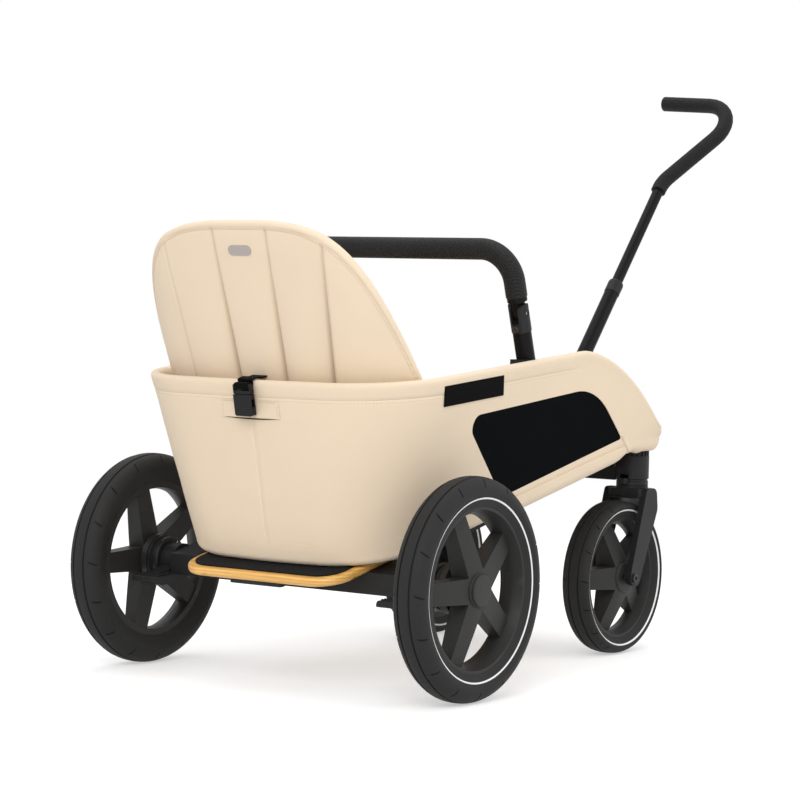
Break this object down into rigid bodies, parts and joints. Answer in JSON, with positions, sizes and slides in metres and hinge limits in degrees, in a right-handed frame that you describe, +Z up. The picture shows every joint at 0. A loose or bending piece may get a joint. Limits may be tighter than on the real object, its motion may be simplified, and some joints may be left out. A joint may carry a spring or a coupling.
{
  "type": "stroller wagon",
  "caption": "Four-wheeled stroller wagon: padded open tub with reclining backrest, wooden step deck, swivel front casters, foot brakes, folding bar and telescopic pull handle.",
  "frame": {"origin": "on the ground, under the middle of the whole", "axes": "+X forward towards the pull handle, +Y to the left, +Z up"},
  "size_m": [1.2593, 0.614, 0.888],
  "materials": {
    "bamboo": "satin lacquer",
    "grip_rubber": "matte",
    "frame_black": "fine texture",
    "frame_metal": "matte powder coat",
    "steel": "bright",
    "wheel_plastic": "fine texture",
    "cap_grey": "fine texture",
    "tyre_rubber": "matte",
    "stripe_white": "matte",
    "sand_fabric": "woven",
    "black_mesh": "open mesh",
    "black_patch": "matte",
    "badge_grey": "matte",
    "webbing": "woven webbing",
    "buckle_black": "semi-gloss",
    "foam": "fine texture"
  },
  "bodies": {
    "wagon": {"deck_board": "bamboo", "grip_pad": "grip_rubber", "catch_plate": "frame_black", "chassis_rails": "frame_metal", "axle_beam": "frame_black", "rear_axle": "steel", "brake_drums": "frame_black", "front_beam": "frame_black", "caster_heads": "frame_black", "tub_shell": "sand_fabric", "side_windows": "black_mesh", "side_patch": "black_patch", "seat_pad": "sand_fabric", "back_hinge_blocks": "frame_black", "strap_welt": "sand_fabric", "strap": "webbing", "buckle_socket": "buckle_black", "bar_sockets": "frame_black", "bar_stubs": "frame_metal", "hinge_bodies": "frame_black", "pivot_pins": "steel", "pull_bracket": "frame_black"},
    "backrest": {"backrest": "sand_fabric", "back_badge": "badge_grey", "back_hinge_bar": "frame_black"},
    "push_bar": {"push_bar": "frame_metal", "push_grip": "foam"},
    "pull_pole": {"pull_outer_tube": "frame_metal", "pull_collar": "frame_black"},
    "pull_handle": {"pull_inner_tube": "frame_metal", "pull_grip": "foam"},
    "buckle_plug": {"buckle_plug": "buckle_black"},
    "rear_wheel_left": {"rear_wheel_left": "wheel_plastic", "rear_tyre_left": "tyre_rubber", "rear_stripe_left": "stripe_white", "hub_cap_left": "cap_grey", "rear_bearings_left": "steel"},
    "brake_pedal_left": {"brake_pedal_left": "frame_black"},
    "lock_pin_left": {"lock_pin_left": "steel"},
    "fork_left": {"fork_left": "frame_black", "front_bolt_left": "cap_grey"},
    "front_wheel_left": {"front_wheel_left": "wheel_plastic", "front_tyre_left": "tyre_rubber", "front_stripes_left": "stripe_white"},
    "swivel_tab_left": {"swivel_tab_left": "frame_black"},
    "hinge_button_left": {"hinge_button_left": "cap_grey"},
    "rear_wheel_right": {"rear_wheel_right": "wheel_plastic", "rear_tyre_right": "tyre_rubber", "rear_stripe_right": "stripe_white", "hub_cap_right": "cap_grey", "rear_bearings_right": "steel"},
    "brake_pedal_right": {"brake_pedal_right": "frame_black"},
    "lock_pin_right": {"lock_pin_right": "steel"},
    "fork_right": {"fork_right": "frame_black", "front_bolt_right": "cap_grey"},
    "front_wheel_right": {"front_wheel_right": "wheel_plastic", "front_tyre_right": "tyre_rubber", "front_stripes_right": "stripe_white"},
    "swivel_tab_right": {"swivel_tab_right": "frame_black"},
    "hinge_button_right": {"hinge_button_right": "cap_grey"}
  },
  "joints": [
    {"name": "rear_spin_left", "type": "hinge", "parent": "wagon", "child": "rear_wheel_left", "pos_m": [-0.4718, 0.282, 0.1525], "axis": [0, 1, 0], "continuous": true},
    {"name": "brake_press_left", "type": "hinge", "parent": "wagon", "child": "brake_pedal_left", "pos_m": [-0.4718, 0.226, 0.1525], "axis": [0, 1, 0], "range_deg": [-18, 0]},
    {"name": "lock_slide_left", "type": "slide", "parent": "wagon", "child": "lock_pin_left", "axis": [0, 1, 0], "range_m": [0, 0.006]},
    {"name": "caster_swivel_left", "type": "hinge", "parent": "wagon", "child": "fork_left", "pos_m": [0.1422, 0.168, 0.25], "axis": [0, 0, 1], "continuous": true},
    {"name": "front_spin_left", "type": "hinge", "parent": "fork_left", "child": "front_wheel_left", "pos_m": [0.0922, 0.168, 0.117], "axis": [0, 1, 0], "continuous": true},
    {"name": "swivel_lock_left", "type": "slide", "parent": "wagon", "child": "swivel_tab_left", "axis": [0, 0, 1], "range_m": [0, 0.005]},
    {"name": "rear_spin_right", "type": "hinge", "parent": "wagon", "child": "rear_wheel_right", "pos_m": [-0.4718, -0.282, 0.1525], "axis": [0, 1, 0], "continuous": true},
    {"name": "brake_press_right", "type": "hinge", "parent": "wagon", "child": "brake_pedal_right", "pos_m": [-0.4718, -0.226, 0.1525], "axis": [0, 1, 0], "range_deg": [-18, 0]},
    {"name": "lock_slide_right", "type": "slide", "parent": "wagon", "child": "lock_pin_right", "axis": [0, -1, 0], "range_m": [0, 0.006]},
    {"name": "caster_swivel_right", "type": "hinge", "parent": "wagon", "child": "fork_right", "pos_m": [0.1422, -0.168, 0.25], "axis": [0, 0, 1], "continuous": true},
    {"name": "front_spin_right", "type": "hinge", "parent": "fork_right", "child": "front_wheel_right", "pos_m": [0.0922, -0.168, 0.117], "axis": [0, 1, 0], "continuous": true},
    {"name": "swivel_lock_right", "type": "slide", "parent": "wagon", "child": "swivel_tab_right", "axis": [0, 0, 1], "range_m": [0, 0.005]},
    {"name": "push_bar_fold", "type": "hinge", "parent": "wagon", "child": "push_bar", "pos_m": [-0.24632, 0, 0.52075], "axis": [0, 1, 0], "range_deg": [0, 100]},
    {"name": "hinge_button_left", "type": "slide", "parent": "wagon", "child": "hinge_button_left", "axis": [0.9548, 0, 0.2974], "range_m": [0, 0.0025], "stiffness_N_per_m": 300},
    {"name": "hinge_button_right", "type": "slide", "parent": "wagon", "child": "hinge_button_right", "axis": [0.9548, 0, 0.2974], "range_m": [0, 0.0025], "stiffness_N_per_m": 300},
    {"name": "pull_tilt", "type": "hinge", "parent": "wagon", "child": "pull_pole", "pos_m": [0.1392, 0, 0.3], "axis": [0, 1, 0], "range_deg": [-14, 50]},
    {"name": "pull_extend", "type": "slide", "parent": "pull_pole", "child": "pull_handle", "axis": [0.6388, 0, 0.7694], "range_m": [-0.18, 0]},
    {"name": "backrest_recline", "type": "hinge", "parent": "wagon", "child": "backrest", "pos_m": [-0.4806, 0, 0.20912], "axis": [0, 1, 0], "range_deg": [-3, 18], "deforming": ["strap"]},
    {"name": "buckle_release", "type": "slide", "parent": "wagon", "child": "buckle_plug", "axis": [-0.208, 0, 0.9781], "range_m": [0, 0.026], "deforming": ["strap"]}
  ],
  "couplings": [
    {"joint": "lock_slide_left", "follows": "brake_press_left", "m_per_rad": -0.019099},
    {"joint": "lock_slide_right", "follows": "brake_press_right", "m_per_rad": -0.019099}
  ]
}
